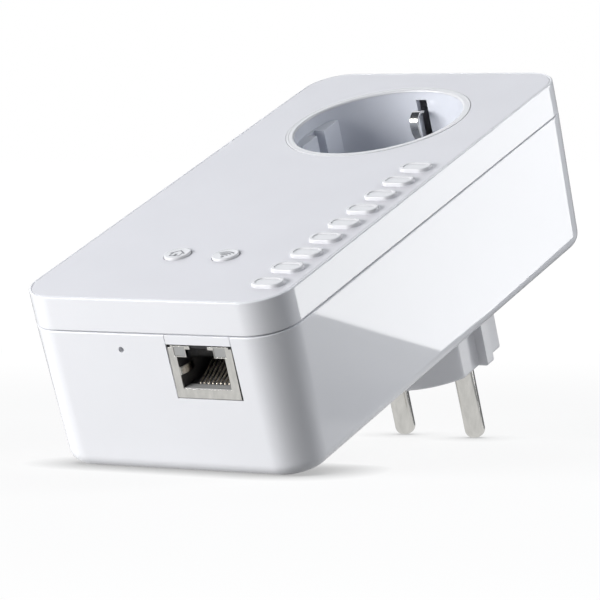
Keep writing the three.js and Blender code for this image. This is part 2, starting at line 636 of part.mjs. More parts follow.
for (const [name, x] of Object.entries(BUTTON_XS)) {
  const side = name.split('_')[0];
  place(name, pressButton(x), glossWhite);
  place(`${side}_switch`, switchBody(x), blackPlastic);
  place(`${side}_switch_plunger`, switchPlunger(x), ivory);
}

const RESET_SWITCH_Y = [-62, -58.4];

function resetSwitch() {
  const body = block([RESET.x - 3, RESET.x + 3], RESET_SWITCH_Y,
    [RESET.z - 1.9, BUTTON_BOARD.top - BUTTON_BOARD.thickness - GAP]);
  return cut(body, rodAlongY(1.5, [RESET_SWITCH_Y[0] - 1, RESET_SWITCH_Y[0] + 2], RESET.x, RESET.z));
}

place('reset_switch', resetSwitch(), blackPlastic);
place('reset_plunger',
  rodAlongY(1.2, [RESET_SWITCH_Y[0] - 1.2, RESET_SWITCH_Y[0] + 1.2], RESET.x, RESET.z), ivory);

// ---- circuit boards and what they carry ------------------------------------------------------
function boardLevels(board) {
  return [board.top - board.thickness, board.top];
}

function mainBoard() {
  const outline = polygon([[-20, -64], [20.9, -64], [20.9, -52], [29.5, -52], [29.5, 10],
    [-29.5, 10], [-29.5, -52], [-20, -52]]);
  return prism(outline, boardLevels(MAIN_BOARD));
}

function onBoard(board, height) {
  return [board.top + GAP, board.top + GAP + height];
}

function shieldCan() {
  const levels = onBoard(MAIN_BOARD, 3);
  const can = prism(roundedRect([-25, -7], [-38, -16], 1), levels, 3);
  return cut(can, block([-24.5, -7.5], [-37.5, -16.5], [levels[0] - 1, levels[1] - 0.5]));
}

function heatSink() {
  const base = onBoard(MAIN_BOARD, 1.6 + 1.4 + GAP);
  let sink = block([2, 20], [-24, -6], [base[1] - 1.4, base[1]]);
  for (let fin = 0; fin < 6; fin += 1) {
    const x = 2 + fin * 3.4;
    sink = sink.add(block([x, x + 1], [-24, -6], [base[1] - 0.5, base[1] + 5]));
  }
  return sink;
}

function canCapacitor(radius, [y0, y1], x) {
  const z = POWER_BOARD.top + GAP + radius;
  const body = rodAlongY(radius, [y0, y1], x, z, 16);
  const crimp = cut(rodAlongY(radius + 1, [y1 - 2.4, y1 - 1.6], x, z, 16),
    rodAlongY(radius - 0.4, [y1 - 3, y1 - 1], x, z, 16));
  return cut(body, crimp);
}

function windingCore([x0, x1], [y0, y1], height) {
  const levels = onBoard(POWER_BOARD, height);
  const core = block([x0, x1], [y0, y1], levels);
  const coil = prism(roundedRect([x0 + 2, x1 - 2], [y0 - 2.5, y1 + 2.5], 2.5),
    [levels[0] + 1.5, levels[1] - 1.5], 4);
  return joined(core, coil);
}

place('main_board', mainBoard(), boardGreen);
place('power_board', prism(polygon([[-29, -50], [29, -50], [29, 6], [-29, 6]]),
  boardLevels(POWER_BOARD)), boardGreen);
place('button_board', prism(polygon([[-15, -62.4], [15, -62.4], [15, -38], [-15, -38]]),
  boardLevels(BUTTON_BOARD)), boardGreen);
place('soc_chip', block([4, 18], [-22, -8], onBoard(MAIN_BOARD, 1.6)), blackPlastic);
place('heat_sink', heatSink(), steel);
place('radio_shield_can', shieldCan(), nickel);
place('network_transformer', block([2, 18], [-42, -34], onBoard(MAIN_BOARD, 4.5)), blackPlastic);
place('supply_transformer', windingCore([-24, -8], [-28, -14], 9), ivory);
place('coupling_transformer', windingCore([12, 22], [-8, -1], 7), ivory);
place('bulk_capacitor_left', canCapacitor(4.6, [-30, -12], 2), blackPlastic);
place('bulk_capacitor_right', canCapacitor(4.6, [-30, -12], 13), blackPlastic);
place('output_capacitor', canCapacitor(4, [-46, -33], -2), blackPlastic);
place('film_capacitor', block([-24, -6.5], [-7, 2], onBoard(POWER_BOARD, 9)), ivory);
place('choke', windingCore([12, 22], [-44, -36], 7), ivory);
place('varistor', rodAlongY(4.2, [-5, -1], 1, POWER_BOARD.top + GAP + 4.2, 20), boardGreen);
place('fuse', block([22.5, 26.5], [-26, -14], onBoard(POWER_BOARD, 6)), ivory);
place('board_header', block([-27.5, -24.9], [-40, -30],
  [POWER_BOARD.top + GAP, MAIN_BOARD.top - MAIN_BOARD.thickness - GAP]), blackPlastic);

for (const [side, sign] of [['left', -1], ['right', 1]]) {
  const faces = [sign * 28.2, sign * 29].sort((a, b) => a - b);
  place(`${side}_antenna`, block(faces, [-34, -4], [-21, -11]), boardGreen);
  place(`${side}_antenna_cable`, wire([
    [sign * 27.2, -8, -16], [sign * 25.5, -4, -13], [sign * 20, -1, -14],
    [sign * 12, -2, -18], [sign * 6, -3, -21]], 0.6, 3, 12), blackPlastic);
}

for (const [name, x] of [['live_lead', -PIN_X], ['neutral_lead', PIN_X]]) {
  place(name, wire([
    [x, 10.5, -34.9], [x, 9.3, -32.8], [x, 6.2, -32.8], [x, 4.6, -33.9]], 0.7, 3, 10), blackPlastic);
}

// ---- how it lies on a table ------------------------------------------------------------------
// The floor touches the housing's rounded lower edge and the rounded pin tips: the lean is the
// angle of the line that is tangent to those two circles.
function restLean() {
  const edge = { y: -LENGTH / 2 + TAPER + BACK_FILLET, z: BACK + BACK_FILLET };
  const tip = { y: SOCKET_Y - PIN_RADIUS + PIN_TIP_ARC, z: PLUG_END - PIN_LENGTH + PIN_TIP_ARC };
  const between = Math.hypot(tip.y - edge.y, tip.z - edge.z);
  const slope = Math.atan2(edge.z - tip.z, tip.y - edge.y);
  return slope + Math.asin((PIN_TIP_ARC - BACK_FILLET) / between);
}

inCase.rotation.x = restLean();
const adapter = new THREE.Group();
adapter.add(inCase);
adapter.updateMatrixWorld(true);
const extent = new THREE.Box3().setFromObject(adapter, true);
const middle = extent.getCenter(new THREE.Vector3());
inCase.position.set(-middle.x, -middle.y, -extent.min.z);

export default adapter;
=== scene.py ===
"""The looks of a powerline adapter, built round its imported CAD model.

Shapes are made in millimetres in the case's own frame: X across the case, Y along it from the jack
end to the socket end, Z out of the front plate, which lies at z = 0. TO_ROW then leans each piece
back with the case and turns it into metres.
"""
import json
import math

import bmesh
import bpy
from mathutils import Matrix, Vector


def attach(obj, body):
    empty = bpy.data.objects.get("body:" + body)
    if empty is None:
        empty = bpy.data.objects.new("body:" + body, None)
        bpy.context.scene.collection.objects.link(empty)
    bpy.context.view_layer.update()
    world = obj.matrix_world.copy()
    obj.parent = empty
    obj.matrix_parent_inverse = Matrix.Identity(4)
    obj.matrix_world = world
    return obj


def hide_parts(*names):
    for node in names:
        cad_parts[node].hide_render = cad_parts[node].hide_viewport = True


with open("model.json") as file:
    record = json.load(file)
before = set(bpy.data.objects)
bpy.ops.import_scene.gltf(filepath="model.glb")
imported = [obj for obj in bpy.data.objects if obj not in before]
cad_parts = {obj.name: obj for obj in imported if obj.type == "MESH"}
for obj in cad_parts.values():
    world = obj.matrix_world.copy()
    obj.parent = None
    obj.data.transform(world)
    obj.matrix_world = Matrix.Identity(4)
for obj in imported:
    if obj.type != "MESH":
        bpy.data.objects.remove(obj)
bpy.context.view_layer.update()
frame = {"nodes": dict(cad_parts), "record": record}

scene = bpy.context.scene

# ---- the case's own frame ----------------------------------------------------------------------
MM = 0.001
mounts = {mount["name"]: mount for mount in frame["record"]["mounts"]}
front_axis = mounts["front_plate_face"]["axis"]
LEAN = math.atan2(-front_axis[1], front_axis[2])
TILT = Matrix.Rotation(LEAN, 3, "X")


def upright_box(node):
    """Lowest and highest corner of a CAD node once the case's lean is taken out, in millimetres."""
    points = [TILT.inverted() @ vertex.co / MM for vertex in frame["nodes"][node].data.vertices]
    low = Vector([min(point[axis] for point in points) for axis in range(3)])
    high = Vector([max(point[axis] for point in points) for axis in range(3)])
    return low, high


def case_origin():
    low, high = upright_box("front_cover")
    top = TILT.inverted() @ Vector(mounts["front_plate_face"]["pos_m"]) / MM
    return Vector(((low.x + high.x) / 2, (low.y + high.y) / 2, top.z))


ORIGIN = case_origin()
TO_ROW = TILT.to_4x4() @ Matrix.Scale(MM, 4) @ Matrix.Translation(ORIGIN)


def case_box(node):
    low, high = upright_box(node)
    return low - ORIGIN, high - ORIGIN


cover_low, cover_high = case_box("front_cover")
housing_low, housing_high = case_box("back_housing")
trim_low, trim_high = case_box("socket_trim_ring")
pin_low, pin_high = case_box("neutral_pin")
jack_low, jack_high = case_box("jack_shield")

WIDTH = cover_high.x - cover_low.x
LENGTH = cover_high.y - cover_low.y
BACK = housing_low.z
HOUSING_TOP = housing_high.z
CORNER = 9.3
TAPER = 0.65
BACK_FILLET = 3.5
WALL = 2.2
COVER_BOTTOM = -7.6
PLATE = 1.0
PLATE_INSET = 0.6
SOCKET_Y = (trim_low.y + trim_high.y) / 2
TRIM_RADIUS = (trim_high.x - trim_low.x) / 2
WELL_RADIUS = 19.7
WELL_DEPTH = 17.5
PIN_X = (pin_low.x + pin_high.x) / 2
PIN_RADIUS = (pin_high.x - pin_low.x) / 2
PLUG_RADIUS = 17.5
PLUG_END = case_box("plug_body")[0].z
FRONT_WALL = -LENGTH / 2
BUTTON_RADIUS = 3.0
BUTTONS = ("left_button", "right_button")
SMOOTH = 18           # steps in a rounded case corner
ROUND = 96            # steps in a large full circle


# ---- mesh helpers ------------------------------------------------------------------------------
def to_object(mesh, name):
    bmesh.ops.remove_doubles(mesh, verts=mesh.verts, dist=1e-4)
    bmesh.ops.recalc_face_normals(mesh, faces=mesh.faces)
    data = bpy.data.meshes.new(name)
    mesh.to_mesh(data)
    mesh.free()
    obj = bpy.data.objects.new(name, data)
    scene.collection.objects.link(obj)
    return obj


def add_loft(mesh, rings):
    """A closed skin through rings of equal point count, with a flat cap on each end."""
    levels = [[mesh.verts.new(point) for point in ring] for ring in rings]
    for upper, lower in zip(levels, levels[1:]):
        for i, vertex in enumerate(upper):
            j = (i + 1) % len(upper)
            mesh.faces.new((vertex, upper[j], lower[j], lower[i]))
    mesh.faces.new(levels[0])
    mesh.faces.new(levels[-1])


def loft(name, rings):
    mesh = bmesh.new()
    add_loft(mesh, rings)
    return to_object(mesh, name)


def outline(half_x, half_y, radius, centre=(0, 0), steps=SMOOTH):
    """A rectangle with rounded corners, as points in the X-Y plane."""
    points = []
    for side_x, side_y, start in ((1, -1, -0.5), (1, 1, 0), (-1, 1, 0.5), (-1, -1, 1)):
        for step in range(steps + 1):
            angle = (start + 0.5 * step / steps) * math.pi
            points.append((centre[0] + side_x * (half_x - radius) + radius * math.cos(angle),
                           centre[1] + side_y * (half_y - radius) + radius * math.sin(angle)))
    return points


def at_height(points, z):
    return [(x, y, z) for x, y in points]


def case_ring(inset, z):
    return at_height(outline(WIDTH / 2 - inset, LENGTH / 2 - inset, CORNER - inset), z)


def quarter(centre, radius, start, steps=5):
    """Points on a quarter circle in an (inset, z) or (radius, z) profile; start is in right angles."""
    angles = [(start + step / steps) * math.pi / 2 for step in range(steps + 1)]
    return [(centre[0] + radius * math.cos(a), centre[1] + radius * math.sin(a)) for a in angles]


def turned(name, profile, centre=(0, 0), steps=ROUND):
    """A profile of (radius, z) points turned about a vertical line; radius 0 closes it on the line."""
    mesh = bmesh.new()
    rings = []
    for radius, z in profile:
        if radius == 0:
            rings.append([mesh.verts.new((centre[0], centre[1], z))])
            continue
        angles = [2 * math.pi * step / steps for step in range(steps)]
        rings.append([mesh.verts.new((centre[0] + radius * math.cos(a),
                                      centre[1] + radius * math.sin(a), z)) for a in angles])
    closed = profile[0][0] > 0
    for inner, outer in zip(rings, rings[1:] + ([rings[0]] if closed else [])):
        for i in range(steps):
            j = (i + 1) % steps
            corners = [inner[i % len(inner)], inner[j % len(inner)],
                       outer[j % len(outer)], outer[i % len(outer)]]
            mesh.faces.new(list(dict.fromkeys(corners)))
    return to_object(mesh, name)


def box(name, x, y, z):
    corners = [(x[0], y[0]), (x[1], y[0]), (x[1], y[1]), (x[0], y[1])]
    return loft(name, [at_height(corners, z[0]), at_height(corners, z[1])])


def rod(name, radius, z, centre=(0, 0), steps=48):
    return turned(name, [(0, z[0]), (radius, z[0]), (radius, z[1]), (0, z[1])], centre, steps)


def rod_along_y(name, radius, y, x, z, steps=32):
    obj = rod(name, radius, (y[0], y[1]), (0, 0), steps)
    obj.data.transform(Matrix.Translation((x, 0, z)) @ Matrix.Rotation(-math.pi / 2, 4, "X"))
    return obj


def slab(name, points, z):
    return loft(name, [at_height(points, z[0]), at_height(points, z[1])])


def slab_along(name, points, span, axis):
    """An outline in the X-Z plane pushed along Y, or in the Y-Z plane pushed along X."""
    if axis == "Y":
        rings = [[(x, depth, z) for x, z in points] for depth in span]
    else:
        rings = [[(depth, y, z) for y, z in points] for depth in span]
    return loft(name, rings)


def ribbon(points, thickness):
    """The outline of a strip of even thickness whose middle follows the points."""
    sides = ([], [])
    for i, point in enumerate(points):
        before = points[max(i - 1, 0)]
        after = points[min(i + 1, len(points) - 1)]
        along = math.dist(before, after)
        across = ((before[1] - after[1]) / along, (after[0] - before[0]) / along)
        for side, reach in zip(sides, (-thickness / 2, thickness / 2)):
            side.append((point[0] + across[0] * reach, point[1] + across[1] * reach))
    return sides[0] + sides[1][::-1]


def curved(points, steps=8):
    """The points of a smooth curve that passes through the given 2-D points."""
    ends = [points[0]] + list(points) + [points[-1]]
    smooth = []
    for a, b, c, d in zip(ends, ends[1:], ends[2:], ends[3:]):
        for step in range(steps):
            t = step / steps
            smooth.append(tuple(
                0.5 * (2 * q + (r - p) * t + (2 * p - 5 * q + 4 * r - s) * t * t
                       + (3 * q - p - 3 * r + s) * t ** 3) for p, q, r, s in zip(a, b, c, d)))
    return smooth + [tuple(points[-1])]


def applied(obj):
    """Replaces an object's mesh by what its modifiers make of it."""
    depsgraph = bpy.context.evaluated_depsgraph_get()
    evaluated = obj.evaluated_get(depsgraph)
    data = bpy.data.meshes.new_from_object(evaluated, preserve_all_data_layers=True,
                                           depsgraph=depsgraph)
    obj.modifiers.clear()
    obj.data = data
    return obj


def carve(obj, tools, operation="DIFFERENCE"):
    for tool in tools:
        modifier = obj.modifiers.new("carve", "BOOLEAN")
        modifier.operation = operation
        modifier.solver = "EXACT"
        modifier.object = tool
    applied(obj)
    for tool in tools:
        bpy.data.objects.remove(tool)
    return obj


def merged(name, objects):
    """Several closed shells as one object."""
    mesh = bmesh.new()
    for obj in objects:
        mesh.from_mesh(obj.data)
        bpy.data.objects.remove(obj)
    return to_object(mesh, name)


def present(obj, look, body, nodes=(), edge=0.12, segments=3, sharp=32):
    """Rounds an object's sharp edges, puts it in the row frame and ties it to the CAD model."""
    if edge:
        bevel = obj.modifiers.new("edges", "BEVEL")
        bevel.width = edge
        bevel.segments = segments
        bevel.limit_method = "ANGLE"
        bevel.angle_limit = math.radians(sharp)
        bevel.miter_outer = "MITER_ARC"
    obj.data.shade_smooth()
    weighted = obj.modifiers.new("normals", "WEIGHTED_NORMAL")
    weighted.weight = 80
    applied(obj)
    obj.data.transform(TO_ROW)
    obj.data.materials.clear()
    obj.data.materials.append(look)
    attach(obj, body)
    if nodes:
        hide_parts(*nodes)
    return obj


# ---- materials ---------------------------------------------------------------------------------
class Look:
    """A Principled material whose colour, roughness and relief come from procedural textures."""

    def __init__(self, name, roughness, metallic=0.0):
        self.material = bpy.data.materials.new(name)
        self.material.use_nodes = True
        self.tree = self.material.node_tree
        self.shader = self.tree.nodes["Principled BSDF"]
        self.shader.inputs["Roughness"].default_value = roughness
        self.shader.inputs["Metallic"].default_value = metallic
        self.shader.inputs["IOR"].default_value = 1.5
        self.position = self.tree.nodes.new("ShaderNodeTexCoord").outputs["Object"]

    def node(self, kind, **values):
        node = self.tree.nodes.new(kind)
        for key, value in values.items():
            if isinstance(key, str) and hasattr(node, key):
                setattr(node, key, value)
            else:
                node.inputs[key.replace("_", " ")].default_value = value
        return node

    def link(self, output, node, socket):
        self.tree.links.new(output, node.inputs[socket])

    def stretched(self, stretch):
        """The position, squeezed along the axes of a brushed or drawn metal."""
        mapping = self.node("ShaderNodeMapping")
        mapping.inputs["Scale"].default_value = stretch
        self.link(self.position, mapping, "Vector")
        return mapping.outputs["Vector"]

    def noise(self, size_mm, detail=3.0, stretch=(1, 1, 1)):
        texture = self.node("ShaderNodeTexNoise", Scale=1 / (size_mm * MM), Detail=detail)
        self.link(self.stretched(stretch), texture, "Vector")
        return texture.outputs["Fac"]

    def ranged(self, value, low, high, start=0.3, end=0.7):
        ranger = self.node("ShaderNodeMapRange")
        ranger.inputs["From Min"].default_value = start
        ranger.inputs["From Max"].default_value = end
        ranger.inputs["To Min"].default_value = low
        ranger.inputs["To Max"].default_value = high
        self.link(value, ranger, "Value")
        return ranger.outputs["Result"]

    def colour(self, dark, light, value):
        mix = self.node("ShaderNodeMix", data_type="RGBA")
        mix.inputs["A"].default_value = (*dark, 1)
        mix.inputs["B"].default_value = (*light, 1)
        self.link(value, mix, "Factor")
        return mix.outputs["Result"]

    def paint(self, dark, light, size_mm, detail=3.0, stretch=(1, 1, 1)):
        mixed = self.colour(dark, light, self.ranged(self.noise(size_mm, detail, stretch), 0, 1))
        self.link(mixed, self.shader, "Base Color")
        return self

    def gloss(self, low, high, size_mm, detail=3.0, stretch=(1, 1, 1)):
        self.link(self.ranged(self.noise(size_mm, detail, stretch), low, high),
                  self.shader, "Roughness")
        return self

    def relief(self, layers):
        """Bump from (height in mm, grain size in mm, stretch) layers, coarse ones first."""
        normal = None
        for height_mm, size_mm, stretch in layers:
            bump = self.node("ShaderNodeBump", Strength=1)
            bump.inputs["Distance"].default_value = height_mm * MM
            self.link(self.noise(size_mm, 2.0, stretch), bump, "Height")
            if normal:
                self.link(normal, bump, "Normal")
            normal = bump.outputs["Normal"]
        self.link(normal, self.shader, "Normal")
        return self


def shade(colour, factor):
    return tuple(min(1.0, channel * factor) for channel in colour)


EVEN = (1, 1, 1)


def moulded(name, colour, roughness, grain=0.0008, spread=0.008):
    """Moulded plastic: a faint drift in tone, slightly uneven gloss and a fine skin texture."""
    look = Look(name, roughness)
    look.paint(shade(colour, 1 - spread), shade(colour, 1 + spread), 24)
    look.gloss(roughness * 0.94, roughness * 1.06, 9)
    look.relief([(0.0012, 12, EVEN), (grain, 0.35, EVEN)])
    return look.material


def plated(name, colour, roughness, stretch=EVEN, depth=0.0012):
    """Bright plating over drawn or pressed metal, with fine lines along the drawing direction."""
    look = Look(name, roughness, metallic=1.0)
    look.paint(shade(colour, 0.92), shade(colour, 1.06), 1.2, 4, stretch)
    look.gloss(roughness * 0.7, roughness * 1.5, 0.5, 4, stretch)
    look.relief([(0.003, 2.5, EVEN), (depth, 0.12, stretch)])
    return look.material


def circuit_board(name):
    """Green solder mask over copper tracks, with a scatter of bright pads."""
    look = Look(name, 0.38)
    tracks = look.node("ShaderNodeTexBrick", Scale=1 / (9 * MM))
    tracks.inputs["Mortar Size"].default_value = 0.045
    tracks.inputs["Color1"].default_value = (0, 0, 0, 1)
    tracks.inputs["Color2"].default_value = (0, 0, 0, 1)
    tracks.inputs["Mortar"].default_value = (1, 1, 1, 1)
    look.link(look.position, tracks, "Vector")
    pads = look.node("ShaderNodeTexVoronoi", Scale=1 / (3.2 * MM))
    look.link(look.position, pads, "Vector")
    mask = look.colour((0.012, 0.10, 0.045), (0.03, 0.21, 0.09), tracks.outputs["Color"])
    mix = look.node("ShaderNodeMix", data_type="RGBA")
    mix.inputs["B"].default_value = (0.62, 0.60, 0.52, 1)
    look.link(mask, mix, "A")
    look.link(look.ranged(pads.outputs["Distance"], 1, 0, 0.14, 0.17), mix, "Factor")
    look.link(mix.outputs["Result"], look.shader, "Base Color")
    look.gloss(0.28, 0.48, 2)
    look.relief([(0.02, 1.5, EVEN)])
    return look.material


def moulded_epoxy(name, colour):
    look = Look(name, 0.5)
    look.paint(shade(colour, 0.8), shade(colour, 1.5), 0.3)
    look.gloss(0.4, 0.62, 0.8)
    look.relief([(0.006, 0.2, EVEN)])
    return look.material


LOOKS = {
    "case_white": moulded("case_gloss_white", (0.832, 0.838, 0.868), 0.03, grain=0.0001),
    "plate_grey": moulded("plate_satin_grey", (0.725, 0.722, 0.762), 0.34, grain=0.0025),
    "trim_white": moulded("trim_satin_white", (0.73, 0.73, 0.75), 0.24, grain=0.0008),
    "button_white": moulded("button_satin_white", (0.76, 0.76, 0.78), 0.20, grain=0.0006),
    "socket_grey": moulded("socket_satin_grey", (0.69, 0.71, 0.765), 0.24, grain=0.002),
    "nickel": plated("nickel_plate", (0.80, 0.79, 0.76), 0.16, (1, 1, 0.06), 0.0006),
    "contact_brass": plated("bare_brass", (0.78, 0.58, 0.26), 0.28),
    "contact_gold": plated("gold_wire", (0.88, 0.80, 0.68), 0.34),
    "screw_steel": plated("zinc_steel", (0.55, 0.56, 0.58), 0.32),
    "jack_black": moulded_epoxy("moulded_black", (0.075, 0.072, 0.072)),
    "carrier_ivory": moulded("moulded_ivory", (0.72, 0.67, 0.55), 0.4, grain=0.003),
    "board_green": circuit_board("solder_mask_green"),
    "fin_aluminium": plated("extruded_aluminium", (0.62, 0.63, 0.65), 0.35, (1, 0.05, 1)),
    "cable_black": moulded_epoxy("cable_jacket", (0.018, 0.018, 0.02)),
    "label_film": moulded("label_film_grey", (0.62, 0.63, 0.65), 0.5, grain=0.004),
}
ICON_LOOK = moulded("printed_icon_grey", (0.17, 0.175, 0.19), 0.45)
LENS_LOOK = moulded("jack_window_grey", (0.36, 0.36, 0.355), 0.25)


# ---- the case ----------------------------------------------------------------------------------
SCREW_PLACES = [(x, y) for y in (-58, 58.5) for x in (-25, 25)]
SCREW_SHELF = (-33, -30)
LABEL = {"half_x": 20, "half_y": 15, "centre": (0, -1.5), "recess": 0.5}
JACK = {"x": (jack_low.x, jack_high.x), "z": (jack_low.z, jack_high.z), "y": jack_low.y}
RESET = (-7.6, -11.6)
RESET_RADIUS = 0.65
JACK_GAP = 0.30                  # the dark gap round the jack's metal frame


def vent_slots():
    return [slab("vent", outline(15, 0.9, 0.9, (0, -47 + row * 6), 6),
                 (BACK - 1, BACK + WALL + 1)) for row in range(5)]


def back_housing():
    edge = 0.25
    profile = [(WALL + TAPER, BACK + WALL), (WALL, HOUSING_TOP - edge)]
    profile += [(WALL - edge, HOUSING_TOP)]
    profile += quarter((edge, HOUSING_TOP - edge), edge, 1)
    drawn_in = TAPER
    fillet = quarter((drawn_in + BACK_FILLET, BACK + BACK_FILLET), BACK_FILLET, 2, 12)
    shell = loft("housing_shell", [case_ring(inset, z) for inset, z in profile + fillet])
    carve(shell, [rod("boss", 4.6, (BACK + WALL - 0.5, SCREW_SHELF[1]), place)
                  for place in SCREW_PLACES], "UNION")
    wall = (FRONT_WALL - 1, FRONT_WALL + 4)
    jack_room = box("room", (JACK["x"][0] - JACK_GAP, JACK["x"][1] + JACK_GAP), wall,
                    (JACK["z"][0] - JACK_GAP, HOUSING_TOP + 1))
    label_room = slab("room", outline(LABEL["half_x"], LABEL["half_y"], 2, LABEL["centre"], 6),
                      (BACK - 1, BACK + LABEL["recess"]))
    plug_room = rod("room", PLUG_RADIUS + 0.08, (BACK - 1, BACK + WALL + 1), (0, SOCKET_Y), ROUND)
    pinhole = rod_along_y("room", RESET_RADIUS, wall, *RESET)
    recesses = [rod("room", 3.4, (BACK - 1, SCREW_SHELF[0]), place) for place in SCREW_PLACES]
    shanks = [rod("room", 1.8, (BACK, SCREW_SHELF[1] + 1), place, 24) for place in SCREW_PLACES]
    carve(shell, [jack_room, label_room, plug_room, pinhole, *recesses, *shanks, *vent_slots()])
    present(shell, LOOKS["case_white"], "case", ["back_housing"], edge=0.12)


def front_cover():
    lip, edge, tongue = 0.32, 0.25, (0.7, 1.9)
    recess = -PLATE - 0.3
    under = recess - 1.8
    profile = [(PLATE_INSET, recess), (PLATE_INSET, -0.08), (PLATE_INSET - 0.08, 0)]
    profile += quarter((lip, -lip), lip, 1)
    profile += quarter((edge, COVER_BOTTOM + edge), edge, 2)
    profile += [(tongue[0], COVER_BOTTOM), (tongue[0], HOUSING_TOP + 0.03),
                (tongue[1], HOUSING_TOP + 0.03), (tongue[1], COVER_BOTTOM),
                (WALL, COVER_BOTTOM), (WALL, under)]
    shell = loft("cover_band", [case_ring(inset, z) for inset, z in profile])
    holes = [rod("room", TRIM_RADIUS + 0.3, (-5, 1), (0, SOCKET_Y), ROUND)]
    holes += [rod("room", BUTTON_RADIUS + 0.4, (-8, 1), button_place(name)) for name in BUTTONS]
    carve(shell, holes)
    present(shell, LOOKS["case_white"], "case", ["front_cover"], edge=0.05)


def jack_bridge():
    """The small tab that closes the housing's wall between the cover and the jack."""
    seam = 0.1
    piece = box("jack_bridge", (JACK["x"][0] - JACK_GAP + seam, JACK["x"][1] + JACK_GAP - seam),
                (FRONT_WALL + 0.02, FRONT_WALL + 2.2), (JACK["z"][1] + 0.26, COVER_BOTTOM - 0.28))
    present(piece, LOOKS["case_white"], "case", ["front_cover"], edge=0.1)


def button_place(name):
    low, high = case_box(name)
    return ((low.x + high.x) / 2, (low.y + high.y) / 2)


def front_plate():
    edge = 0.14
    outer = PLATE_INSET + 0.05
    profile = [(outer, -PLATE)]
    profile += [(outer + edge - edge * math.cos(a), -edge + edge * math.sin(a))
                for a in (0, math.pi / 8, math.pi / 4, math.pi * 3 / 8, math.pi / 2)]
    plate = loft("plate_panel", [case_ring(inset, z) for inset, z in profile])
    holes = [rod("room", TRIM_RADIUS + 0.08, (-5, 1), (0, SOCKET_Y), ROUND)]
    holes += [rod("room", BUTTON_RADIUS + 0.15, (-8, 1), button_place(name)) for name in BUTTONS]
    carve(plate, holes)
    present(plate, LOOKS["plate_grey"], "case", ["front_plate"], edge=0.08)


BAR = {"x": (22.4, 29.9), "half_y": 2.2, "first": -57, "pitch": 8, "count": 9, "height": 0.8}


def front_bars():
    """The plain raised bars along the right side of the front plate."""
    middle_x = sum(BAR["x"]) / 2
    half_x = (BAR["x"][1] - BAR["x"][0]) / 2
    edge = 0.3
    bars = []
    for i in range(BAR["count"]):
        centre = (middle_x, BAR["first"] + i * BAR["pitch"])
        levels = [(0, -0.05), (0, BAR["height"] - edge)]
        levels += [(edge - edge * math.cos(a), BAR["height"] - edge + edge * math.sin(a))
                   for a in (math.pi / 8, math.pi / 4, math.pi * 3 / 8, math.pi / 2)]
        levels += [(0.75, BAR["height"]), (0.9, BAR["height"] - 0.18)]
        bars.append(loft("bar", [at_height(outline(half_x - inset, BAR["half_y"] - inset,
                                                   2.1 - inset, centre, 12), z)
                                 for inset, z in levels]))
    present(merged("front_bars", bars), LOOKS["trim_white"], "case",
            ["front_plate"], edge=0.04)


def screws():
    for number, place in enumerate(SCREW_PLACES, 1):
        tip = case_box(f"case_screw_{number}")[1].z
        top = SCREW_SHELF[0] - 0.3
        dome = [(2.9 * math.cos(a), top - 1.5 - 0.7 * math.sin(a)) for a in
                (0, math.pi / 8, math.pi / 4, math.pi * 3 / 8)]
        profile = [(0, top - 2.2)] + dome[::-1] + [(2.9, top), (1.4, top)]
        thread_z = top
        while thread_z < tip - 2:
            profile += [(1.4, thread_z + 0.25), (1.15, thread_z + 0.5)]
            thread_z += 0.5
        profile += [(0.9, tip - 0.8), (0, tip)]
        screw = turned(f"screw_{number}", profile, place, 40)
        slots = [box("slot", (place[0] - a, place[0] + a), (place[1] - b, place[1] + b),
                     (top - 3, top - 1.1)) for a, b in ((1.7, 0.32), (0.32, 1.7))]
        carve(screw, slots)
        present(screw, LOOKS["screw_steel"], "case", [f"case_screw_{number}"],
                edge=0.05)


def blank_label():
    """A label plate with a raised border and nothing printed on it."""
    half_x, half_y = LABEL["half_x"] - 0.3, LABEL["half_y"] - 0.3
    bed = BACK + LABEL["recess"]
    levels = [(0, bed), (0, BACK + 0.02), (0.1, BACK - 0.04), (0.5, BACK - 0.04),
              (0.6, BACK + 0.05)]
    label = loft("blank_label", [at_height(outline(half_x - inset, half_y - inset, 1.7 - inset,
                                                   LABEL["centre"], 8), z) for inset, z in levels])
    present(label, LOOKS["label_film"], "case", ["rating_label"], edge=0.02)


# ---- the socket --------------------------------------------------------------------------------
RIB = {"face": 16.3, "reach": 8.3, "top": -3, "slot": 1.6}
CLIP_SLOT = {"half": 1.4, "reach": 17.5, "top": -2.4}
PIN_HOLE = 3.0                   # radius of the holes in the socket floor
RING_LIP = 0.5                   # radius of the ring's rounded inner edge
RING_TOP = 0.1
WALL_TOP = RING_TOP - RING_LIP - 0.03
SOCKET = (0, SOCKET_Y)


def trim_ring():
    skirt = 20.3
    lip_start = WELL_RADIUS + RING_LIP
    profile = [(WELL_RADIUS, RING_TOP - RING_LIP), (skirt, RING_TOP - RING_LIP), (skirt, -2.2),
               (TRIM_RADIUS, -2.2), (TRIM_RADIUS, 0), (TRIM_RADIUS - 0.06, 0.07),
               (TRIM_RADIUS - 0.16, RING_TOP), (TRIM_RADIUS - 0.5, RING_TOP),
               (TRIM_RADIUS - 0.56, RING_TOP - 0.07), (TRIM_RADIUS - 0.62, RING_TOP - 0.02)]
    angles = [math.pi / 2 * (1 - step / 8) for step in range(8)]
    profile += [(lip_start - RING_LIP * math.cos(a), RING_TOP - 0.02 - RING_LIP * (1 - math.sin(a)))
                for a in angles]
    ring = turned("socket_ring", profile, SOCKET, 144)
    present(ring, LOOKS["trim_white"], "case", ["socket_trim_ring"], edge=0)


